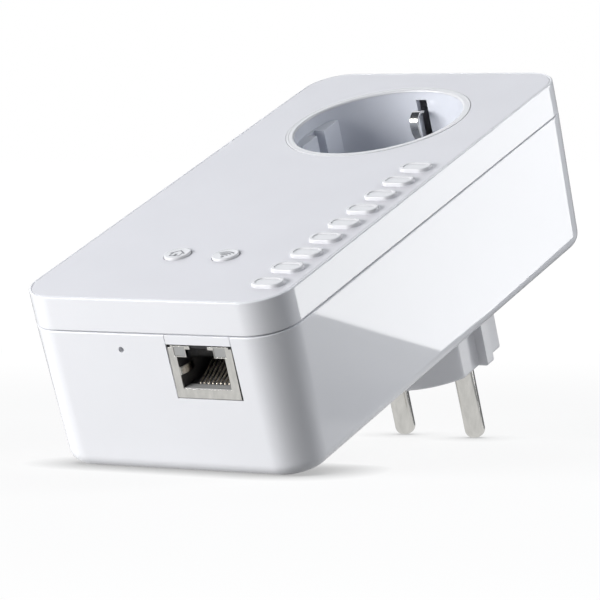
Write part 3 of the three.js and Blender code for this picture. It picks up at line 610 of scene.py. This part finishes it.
def guide_rib(side):
    face, wall = side * RIB["face"], side * (WELL_RADIUS + 0.9)
    rib = box("rib", sorted((face, wall)), (SOCKET_Y - RIB["reach"], SOCKET_Y + RIB["reach"]),
              (-WELL_DEPTH - 0.5, RIB["top"]))
    slot = box("room", sorted((side * (RIB["face"] - 1), side * 19)),
               (SOCKET_Y - RIB["slot"], SOCKET_Y + RIB["slot"]), (-WELL_DEPTH, RIB["top"] + 1))
    carve(rib, [slot])
    return carve(rib, [rod("round", WELL_RADIUS + 0.8, (-WELL_DEPTH - 1, 0), SOCKET, ROUND)],
                 "INTERSECT")


def socket_well():
    under, outside, collar = -20, 21.2, 20.25
    foot = quarter((WELL_RADIUS - 0.7, -WELL_DEPTH + 0.7), 0.7, 3)
    profile = [(0, -WELL_DEPTH)] + foot + [
        (WELL_RADIUS, WALL_TOP), (collar, WALL_TOP), (collar, -2.25), (outside, -2.25),
        (outside, under), (0, under)]
    well = turned("well_cup", profile, SOCKET, ROUND)
    carve(well, [guide_rib(-1), guide_rib(1)], "UNION")
    slots = [box("room", (-CLIP_SLOT["half"], CLIP_SLOT["half"]),
                 sorted((SOCKET_Y + side * CLIP_SLOT["reach"], SOCKET_Y + side * 25)),
                 (under - 1, CLIP_SLOT["top"])) for side in (-1, 1)]
    holes = [rod("room", PIN_HOLE, (under - 1, -WELL_DEPTH + 1), (x, SOCKET_Y))
             for x in (-PIN_X, PIN_X)]
    funnels = [turned("room", [(0, -WELL_DEPTH - 0.6), (PIN_HOLE, -WELL_DEPTH - 0.6),
                               (3.7, -WELL_DEPTH + 0.1), (0, -WELL_DEPTH + 0.1)],
                      (x, SOCKET_Y), 48) for x in (-PIN_X, PIN_X)]
    carve(well, slots + holes + funnels)
    present(well, LOOKS["socket_grey"], "case", ["socket_well"], edge=0.18)


# The clip's middle line as (distance from the socket's centre, height), from foot to tip.
CLIP_LINE = [(22.3, -33.2), (22.3, -26), (22.3, -19.5), (21.4, -17.2), (18.6, -14), (16.3, -11.2),
             (15.1, -9), (14.8, -7.2), (15.05, -5.8), (15.9, -4.8), (17.1, -4.45), (18.3, -4.8)]


def earth_clip(name, side):
    """A sprung strip that stands in its slot and bows into the socket."""
    path = [(SOCKET_Y + side * reach, z) for reach, z in curved(CLIP_LINE, 5)]
    strip = slab_along(f"{name}_strip", ribbon(path, 0.68), (-1.1, 1.1), "X")
    present(strip, LOOKS["nickel"], name, [name], edge=0.14)


# ---- the plug ----------------------------------------------------------------------------------
def plug_outline(inset):
    """The round plug with a flat on each side and a guide rib in the middle of each flat."""
    flat, radius, rib = 15.2 - inset, PLUG_RADIUS - inset, 1.5 - min(inset, 0.4) * 0.5
    meet = math.acos(flat / radius)
    steps = 40
    right = [(flat, -rib), (radius, -rib), (radius, rib), (flat, rib)]
    points = []
    for turn in (0, math.pi):
        arc = [meet + (math.pi - 2 * meet) * step / steps for step in range(steps + 1)]
        half = right + [(radius * math.cos(a), radius * math.sin(a)) for a in arc]
        points += [(x * math.cos(turn) - y * math.sin(turn), x * math.sin(turn) + y * math.cos(turn))
                   for x, y in half]
    return [(x, y + SOCKET_Y) for x, y in points]


def plug_body():
    edge = 0.7
    levels = [(0, BACK + WALL + 0.3), (0, PLUG_END + edge)]
    levels += [(edge - edge * math.cos(a), PLUG_END + edge - edge * math.sin(a))
               for a in (math.pi / 8, math.pi / 4, math.pi * 3 / 8, math.pi / 2)]
    body = loft("plug_shell", [at_height(plug_outline(inset), z) for inset, z in levels])
    rooms = [box("room", (-3.3, 3.3), sorted((SOCKET_Y + side * 15.6, SOCKET_Y + side * 20)),
                 (PLUG_END + 3, 0)) for side in (-1, 1)]
    rooms += [rod("room", PIN_RADIUS + 0.03, (PLUG_END - 1, 0), (x, SOCKET_Y))
              for x in (-PIN_X, PIN_X)]
    rooms += [slab("room", outline(13.4, 4.6, 4.5, SOCKET, 12), (PLUG_END - 1, PLUG_END + 0.35))]
    carve(body, rooms)
    skirt = turned("plug_root", [
        (0, BACK + WALL + 0.1), (PLUG_RADIUS, BACK + WALL + 0.1), (PLUG_RADIUS, BACK - 0.6),
        (PLUG_RADIUS - 0.3, BACK - 0.9), (0, BACK - 0.9)], SOCKET, ROUND)
    present(body, LOOKS["trim_white"], "case", ["plug_body"], edge=0.22)
    present(skirt, LOOKS["trim_white"], "case", ["plug_body"], edge=0.05)


def plug_pin(name, x):
    low, high = case_box(name)
    tip_arc = 1.9
    arc = [(PIN_RADIUS - tip_arc + tip_arc * math.cos(a), low.z + tip_arc - tip_arc * math.sin(a))
           for a in [math.pi / 2 * step / 10 for step in range(11)]]
    profile = [(0, high.z), (PIN_RADIUS, high.z)] + arc + [(0, low.z)]
    pin = turned(f"{name}_turned", profile, (x, SOCKET_Y), 72)
    present(pin, LOOKS["nickel"], "case", [name], edge=0.05)


def plug_earth_strip(name, side):
    low, high = case_box(name)
    strip = box(f"{name}_plate", (low.x, high.x), (low.y, high.y), (low.z, high.z))
    outer = high.y if side > 0 else low.y
    bead = slab_along("bead", curved([(-0.9, low.z + 2), (0, low.z + 1.2), (0.9, low.z + 2)], 4)
                      + [(0.9, high.z - 2), (-0.9, high.z - 2)],
                      sorted((outer - side * 0.3, outer + side * 0.28)), "Y")
    carve(strip, [bead], "UNION")
    present(strip, LOOKS["nickel"], "case", [name], edge=0.15)


# ---- the network jack --------------------------------------------------------------------------
MOUTH = {"x": (6.2, 18.3), "z": (-20.1, -12.8)}
NOTCH_X = (8.7, 15.7)
LATCH_X = (9.9, 14.4)
WINDOW_Z = (-12.6, jack_high.z - 0.2)
SHEET = 0.4


def jack_frame():
    """The pressed front of the jack's metal shield, with its stepped opening."""
    (left, right), (low, high) = JACK["x"], JACK["z"]
    relief, drop = 0.7, 0.4
    outer = [(left, low), (right, low), (right, high - drop), (right - relief, high - drop),
             (right - relief, high), (left + relief, high), (left + relief, high - drop),
             (left, high - drop)]
    y = (JACK["y"], JACK["y"] + SHEET)
    face = slab_along("jack_frame", outer, y, "Y")
    through = (y[0] - 1, y[1] + 1)
    rooms = [box("room", MOUTH["x"], through, MOUTH["z"]),
             box("room", NOTCH_X, through, (MOUTH["z"][1] - 1, high - 0.75)),
             box("room", LATCH_X, through, (MOUTH["z"][1] - 1, high + 1))]
    rooms += [box("room", x, through, WINDOW_Z) for x in window_spans()]
    carve(face, rooms)
    return face


def window_spans():
    beyond, gap = 0.45, 0.12
    left, right = MOUTH["x"]
    return ((left - beyond, NOTCH_X[0] - gap), (NOTCH_X[1] + gap, right + beyond))


def jack_walls():
    (left, right), (low, high) = JACK["x"], JACK["z"]
    y = (JACK["y"] + SHEET + 0.25, jack_high.y)
    outer = box("walls", (left + 0.05, right - 0.05), y, (low + 0.05, high - 0.05))
    inner = box("room", (left + SHEET, right - SHEET), (y[0] - 1, y[1] + 1),
                (low + SHEET, high - SHEET))
    return carve(outer, [inner])


def spring_finger(side):
    """A tongue of the shield that bows into the mouth and presses on the plug's side."""
    wall = MOUTH["x"][0] if side < 0 else MOUTH["x"][1]
    path = curved([(JACK["y"] + 0.15, 0.1), (JACK["y"] + 0.7, -0.15), (JACK["y"] + 2.4, -0.65),
                   (JACK["y"] + 4.2, -0.45), (JACK["y"] + 5.6, 0.1)], 5)
    points = [(wall + side * reach, y) for y, reach in path]
    return slab("finger", ribbon(points, 0.25), (-17.1, -15.2))


def jack():
    present(jack_frame(), LOOKS["nickel"], "case", ["jack_shield"], edge=0.1)
    tongue = slab_along("tongue", [(JACK["y"] + 0.1, -20.12), (JACK["y"] + 2.3, -20.12),
                                   (JACK["y"] + 2.3, -19.92), (JACK["y"] + 0.1, -19.92)],
                        (MOUTH["x"][0] + 0.1, MOUTH["x"][1] - 0.1), "X")
    metal = merged("jack_metal", [jack_walls(), spring_finger(-1), spring_finger(1)])
    present(metal, LOOKS["nickel"], "case", ["jack_shield"], edge=0.06)
    lenses = [box("lens", (x[0] + 0.02, x[1] - 0.02), (JACK["y"] + 0.08, JACK["y"] + 3),
                  (WINDOW_Z[0] + 0.02, WINDOW_Z[1] - 0.02)) for x in window_spans()]
    present(merged("jack_windows", [*lenses, tongue]), LENS_LOOK, "case", ["jack_shield"],
            edge=0.08)


def jack_gap_shade():
    """A black sheet right behind the metal frame: painted shade that shows as the dark gap round it.
    """
    (left, right), (low, high) = JACK["x"], JACK["z"]
    y = (JACK["y"] + SHEET + 0.02, JACK["y"] + SHEET + 0.24)
    reach = JACK_GAP - 0.02
    # painted shade: this black sheet darkens the gap round the jack's frame
    collar = box("jack_gap_shade", (left - reach, right + reach), y, (low - reach, high + reach))
    carve(collar, [box("room", (left + 1, right - 1), (y[0] - 1, y[1] + 1), (low + 1, high - 0.6))])
    present(collar, LOOKS["cable_black"], "case", ["jack_insert"], edge=0)


def jack_insert():
    (left, right), (low, high) = JACK["x"], JACK["z"]
    skin = SHEET + 0.1
    front = JACK["y"] + SHEET + 0.05
    body = box("jack_moulding", (left + skin, right - skin), (front, jack_high.y - 1),
               (low + skin, high - skin))
    rooms = [box("room", MOUTH["x"], (front - 1, front + 13.5), MOUTH["z"]),
             box("room", NOTCH_X, (front - 1, front + 11), (MOUTH["z"][1] - 1, high - 0.62)),
             box("room", (8.1, 16.6), (front + 1.2, front + 4.4), (-21.2, -20)),
             *[box("room", (x[0] - 0.1, x[1] + 0.1), (front - 1, front + 4),
                   (WINDOW_Z[0] - 0.1, WINDOW_Z[1] + 0.1)) for x in window_spans()]]
    carve(body, rooms)
    comb_low, comb_high = case_box("jack_contacts")
    pitch = (comb_high.x - comb_low.x - 0.42) / 7
    combs = []
    for gap in range(9):
        x = comb_low.x + 0.21 + (gap - 0.5) * pitch
        ridge = [(front + 1.3, -20.6), (front + 1.3, -20.15), (front + 4, -19.4),
                 (front + 12.5, -17.2), (front + 12.5, -20.6)]
        combs.append(slab_along("ridge", ridge, (x - 0.16, x + 0.16), "X"))
    present(body, LOOKS["jack_black"], "case", ["jack_insert"], edge=0.1)
    present(merged("jack_ridges", combs), LOOKS["jack_black"], "case",
            ["jack_insert"], edge=0.04)


def wire_along(name, path, x, radius, sides=10):
    """A round wire whose middle follows (y, z) points at one x."""
    rings = []
    for i, (y, z) in enumerate(path):
        before, after = path[max(i - 1, 0)], path[min(i + 1, len(path) - 1)]
        slope = math.atan2(after[1] - before[1], after[0] - before[0])
        turns = [2 * math.pi * side / sides for side in range(sides)]
        rings.append([(x + radius * math.cos(a), y - radius * math.sin(a) * math.sin(slope),
                       z + radius * math.sin(a) * math.cos(slope)) for a in turns])
    return loft(name, rings)


def jack_contacts():
    low, high = case_box("jack_contacts")
    radius, wires = 0.22, 8
    pitch = (high.x - low.x - 0.42) / (wires - 1)
    front, foot = low.y + 0.3, low.z + 0.25
    path = curved([(front + 0.9, foot - 0.1), (front + 0.2, foot), (front - 0.05, foot + 0.25),
                   (front + 0.2, foot + 0.5), (front + 1.4, foot + 1.05),
                   (high.y - 1.2, high.z - 0.65), (high.y - 0.25, high.z - 0.5)], 5)
    wires_made = [wire_along("wire", path, low.x + 0.21 + i * pitch, radius) for i in range(wires)]
    present(merged("jack_wires", wires_made), LOOKS["contact_gold"],
            "jack_contacts", ["jack_contacts"], edge=0)


# ---- the buttons -------------------------------------------------------------------------------
def stroke(name, points, width, z):
    return slab(name, ribbon(points, width), z)


def house_icon(centre, z):
    x, y = centre
    roof = stroke("roof", [(x - 1.8, y - 0.1), (x, y + 1.5), (x + 1.8, y - 0.1)], 0.34, z)
    walls = stroke("walls", [(x - 1.2, y + 0.15), (x - 1.2, y - 1.4), (x + 1.2, y - 1.4),
                             (x + 1.2, y + 0.15)], 0.32, z)
    door = stroke("door", [(x, y - 1.3), (x, y - 0.3)], 0.6, z)
    return [roof, walls, door]


def arcs_icon(centre, z):
    x, y = centre[0], centre[1] - 1.35
    pieces = [rod("dot", 0.38, z, (x, y), 24)]
    for radius in (1.15, 1.9, 2.65):
        angles = [math.radians(45 + 90 * step / 12) for step in range(13)]
        pieces.append(stroke("arc", [(x + radius * math.cos(a), y + radius * math.sin(a))
                                     for a in angles], 0.34, z))
    return pieces


def press_button(name, icon):
    low, high = case_box(name)
    place = button_place(name)
    radius, top, face = BUTTON_RADIUS, high.z, high.z - 0.1
    flange, under = (high.x - low.x) / 2, low.z
    crown = [(radius, top - 0.34), (radius - 0.04, top - 0.16), (radius - 0.15, top - 0.05),
             (radius - 0.32, top), (radius - 0.5, top - 0.01), (radius - 0.68, face + 0.02),
             (radius - 1.1, face), (0, face - 0.02)]
    profile = [(0, under), (flange, under), (flange, under + 0.9), (radius, under + 0.9), *crown]
    cap = turned(f"{name}_cap", profile, place, 72)
    present(cap, LOOKS["button_white"], name, [name], edge=0)
    symbol = merged(f"{name}_symbol", icon(place, (face - 0.06, face + 0.02)))
    present(symbol, ICON_LOOK, name, [name], edge=0)


# ---- CAD pieces that stay as they are ----------------------------------------------------------
def dress_inner_pieces():
    """Rounds the edges of the CAD nodes that show as they are, and gives them their materials."""
    slots = {part["node"]: part["material_slot"] for part in frame["record"]["subparts"]}
    slots["reset_plunger"] = "cable_black"     # painted shade: the plunger is made black so the pinhole's bottom looks dark
    for name, obj in frame["nodes"].items():
        if obj.hide_render:
            continue
        obj.data.materials.clear()
        obj.data.materials.append(LOOKS[slots[name]])
        bevel = obj.modifiers.new("edges", "BEVEL")
        bevel.width = 0.1 * MM
        bevel.segments = 2
        bevel.limit_method = "ANGLE"
        bevel.angle_limit = math.radians(35)
        obj.data.shade_smooth()
        obj.modifiers.new("normals", "WEIGHTED_NORMAL")


# ---- stage, light and camera -------------------------------------------------------------------
CAMERA = {"azimuth": 32.51, "elevation": 2.61, "distance": 0.88,
          "target": Vector((-0.0025, -0.0026, 0.0342)), "lens": 236.4}


def camera():
    data = bpy.data.cameras.new("camera")
    data.lens = CAMERA["lens"]
    data.sensor_width = 36
    data.clip_end = 50
    azimuth, elevation = math.radians(CAMERA["azimuth"]), math.radians(CAMERA["elevation"])
    back = Vector((math.sin(azimuth) * math.cos(elevation),
                   -math.cos(azimuth) * math.cos(elevation), math.sin(elevation)))
    obj = bpy.data.objects.new("camera", data)
    obj.location = CAMERA["target"] + back * CAMERA["distance"]
    obj.rotation_euler = (-back).to_track_quat("-Z", "Y").to_euler()
    scene.collection.objects.link(obj)
    scene.camera = obj


def panel_light(name, place, aim, size, radiance, tint=(1, 1, 1)):
    data = bpy.data.lights.new(name, "AREA")
    data.shape = "RECTANGLE"
    data.size, data.size_y = size
    data.energy = radiance * size[0] * size[1] * math.pi
    data.color = tint
    obj = bpy.data.objects.new(name, data)
    obj.location = place
    obj.rotation_euler = (Vector(aim) - Vector(place)).to_track_quat("-Z", "Y").to_euler()
    obj.visible_camera = False
    scene.collection.objects.link(obj)


FLOOR_RADIUS = 6
PAPER = (0.95, 0.95, 0.955, 1)      # the floor where it is lit and shaded as plain paper
PAINTED_REFLECTION = (0.68, 0.68, 0.675, 1)      # painted reflection: a pale glow close by the part that only mirrored rays see
PAINTED_REFLECTION_PLACE, PAINTED_REFLECTION_EDGE = (0, -0.03, 0), (0.105, 0.14)
BOUNCE = (0.85, 0.28)               # how much light the floor returns: under the plug, elsewhere
BOUNCE_PLACE, BOUNCE_EDGE = (0, 0.03, 0), (0.04, 0.10)
SHADOW_SHARE, SHADOW_EDGE = 0.14, (0.14, 0.4)
CONTACT_REACH = 0.011               # how near something has to be to darken the floor


def seen_by_camera(tree):
    """1 where the camera itself looks at a surface, 0 for reflected and scattered rays."""
    return tree.nodes.new("ShaderNodeLightPath").outputs["Is Camera Ray"]


def fading(tree, centre, reach, near, far):
    """A value that changes smoothly with the distance from a place, over the reach given."""
    position = tree.nodes.new("ShaderNodeTexCoord").outputs["Object"]
    away = tree.nodes.new("ShaderNodeVectorMath")
    away.operation = "DISTANCE"
    away.inputs[1].default_value = centre
    tree.links.new(position, away.inputs[0])
    ranger = tree.nodes.new("ShaderNodeMapRange")
    ranger.interpolation_type = "SMOOTHSTEP"
    for socket, value in zip(("From Min", "From Max", "To Min", "To Max"), (*reach, near, far)):
        ranger.inputs[socket].default_value = value
    tree.links.new(away.outputs["Value"], ranger.inputs["Value"])
    return ranger.outputs["Result"]


def contact_shade(tree):
    """Falls below 1 only where something almost touches the floor."""
    nearness = tree.nodes.new("ShaderNodeAmbientOcclusion")
    nearness.samples = 12
    nearness.inputs["Distance"].default_value = CONTACT_REACH
    ranger = tree.nodes.new("ShaderNodeMapRange")
    for socket, value in (("From Min", 0.3), ("From Max", 1), ("To Min", 0.5), ("To Max", 1.01)):
        ranger.inputs[socket].default_value = value
    tree.links.new(nearness.outputs["AO"], ranger.inputs["Value"])
    return ranger.outputs["Result"]


def mixed(tree, factor, first, second):
    mix = tree.nodes.new("ShaderNodeMixShader")
    tree.links.new(factor, mix.inputs["Fac"])
    tree.links.new(first, mix.inputs[1])
    tree.links.new(second, mix.inputs[2])
    return mix.outputs["Shader"]


def floor_material():
    """White with soft shadows to the camera, darker for bounced light, and a painted reflection: a
    pale glow close by that only mirrored rays see.
    """
    material = bpy.data.materials.new("pale_floor")
    material.use_nodes = True
    tree = material.node_tree
    tree.nodes.remove(tree.nodes["Principled BSDF"])
    bounce, paper = (tree.nodes.new("ShaderNodeBsdfDiffuse") for _ in range(2))
    grey = tree.nodes.new("ShaderNodeCombineColor")
    level = fading(tree, BOUNCE_PLACE, BOUNCE_EDGE, *BOUNCE)
    for channel in ("Red", "Green", "Blue"):
        tree.links.new(level, grey.inputs[channel])
    tree.links.new(grey.outputs["Color"], bounce.inputs["Color"])
    paper.inputs["Color"].default_value = PAPER
    glow, mirrored = (tree.nodes.new("ShaderNodeEmission") for _ in range(2))
    tree.links.new(contact_shade(tree), glow.inputs["Strength"])
    mirrored.inputs["Color"].default_value = PAINTED_REFLECTION
    rays = tree.nodes.new("ShaderNodeLightPath")
    # painted reflection: the pale glow shows only to glossy rays near the part
    near = fading(tree, PAINTED_REFLECTION_PLACE, PAINTED_REFLECTION_EDGE, 1, 0)
    both = tree.nodes.new("ShaderNodeMath")
    both.operation = "MULTIPLY"
    tree.links.new(near, both.inputs[0])
    tree.links.new(rays.outputs["Is Glossy Ray"], both.inputs[1])
    seen = mixed(tree, fading(tree, (0, 0, 0), SHADOW_EDGE, SHADOW_SHARE, 0),
                 glow.outputs["Emission"], paper.outputs["BSDF"])
    other = mixed(tree, both.outputs["Value"], bounce.outputs["BSDF"], mirrored.outputs["Emission"])
    whole = mixed(tree, rays.outputs["Is Camera Ray"], other, seen)
    tree.links.new(whole, tree.nodes["Material Output"].inputs["Surface"])
    return material


def floor():
    mesh = bmesh.new()
    bmesh.ops.create_circle(mesh, cap_ends=True, segments=96, radius=FLOOR_RADIUS)
    ground = to_object(mesh, "floor")
    ground.data.materials.append(floor_material())


AROUND = Vector((0, 0, 0.04))    # what the lights that stand round the object aim at
COOL = (0.94, 0.97, 1)           # the slightly blue tint of the lights that fill the shadows
DIM_ROOM = (0.06, 0.064, 0.074, 1)
CARD = {"start": Vector((0.094, 0.180, 0)), "along": Vector((0.725, 0.689, 0)),
        "width": 0.58, "height": 0.40, "radiance": 4.8}


def light_from(name, azimuth, elevation, distance, size, radiance, tint=(1, 1, 1)):
    """A softbox at an azimuth measured from the jack end (-Y) towards the right (+X)."""
    turn, rise = math.radians(azimuth), math.radians(elevation)
    away = Vector((math.sin(turn) * math.cos(rise), -math.cos(turn) * math.cos(rise),
                   math.sin(rise)))
    panel_light(name, AROUND + away * distance, AROUND, size, radiance, tint)


def side_card():
    """A lit card that stands on the floor beside the case and mirrors in its right side."""
    along, width, height = CARD["along"], CARD["width"], CARD["height"]
    middle = CARD["start"] + along * width / 2 + Vector((0, 0, height / 2))
    facing = Vector((along.y, -along.x, 0))
    panel_light("side_card", middle, middle + facing, (width, height), CARD["radiance"])


def studio():
    world = bpy.data.worlds.new("studio")
    world.use_nodes = True
    tree = world.node_tree
    mix = tree.nodes.new("ShaderNodeMix")
    mix.data_type = "RGBA"
    mix.inputs["A"].default_value = DIM_ROOM
    mix.inputs["B"].default_value = (1, 1, 1, 1)
    tree.links.new(seen_by_camera(tree), mix.inputs["Factor"])
    tree.links.new(mix.outputs["Result"], tree.nodes["Background"].inputs["Color"])
    scene.world = world
    scene.view_settings.view_transform = "Standard"
    light_from("key", -38, 11, 0.9, (0.8, 0.32), 14.5)
    light_from("back_left", -135, 35, 1.0, (0.8, 0.5), 1.6, COOL)
    light_from("back_right", 125, 40, 1.0, (0.7, 0.5), 2.8, COOL)
    light_from("right", 80, 15, 1.0, (0.4, 0.3), 1.6, COOL)
    side_card()


camera()
back_housing()
front_cover()
jack_bridge()
front_plate()
front_bars()
screws()
blank_label()
trim_ring()
socket_well()
earth_clip("upper_earth_clip", 1)
earth_clip("lower_earth_clip", -1)
plug_body()
plug_pin("live_pin", -PIN_X)
plug_pin("neutral_pin", PIN_X)
plug_earth_strip("upper_plug_earth_strip", 1)
plug_earth_strip("lower_plug_earth_strip", -1)
jack()
jack_gap_shade()
jack_insert()
jack_contacts()
press_button("left_button", house_icon)
press_button("right_button", arcs_icon)
dress_inner_pieces()
floor()
studio()
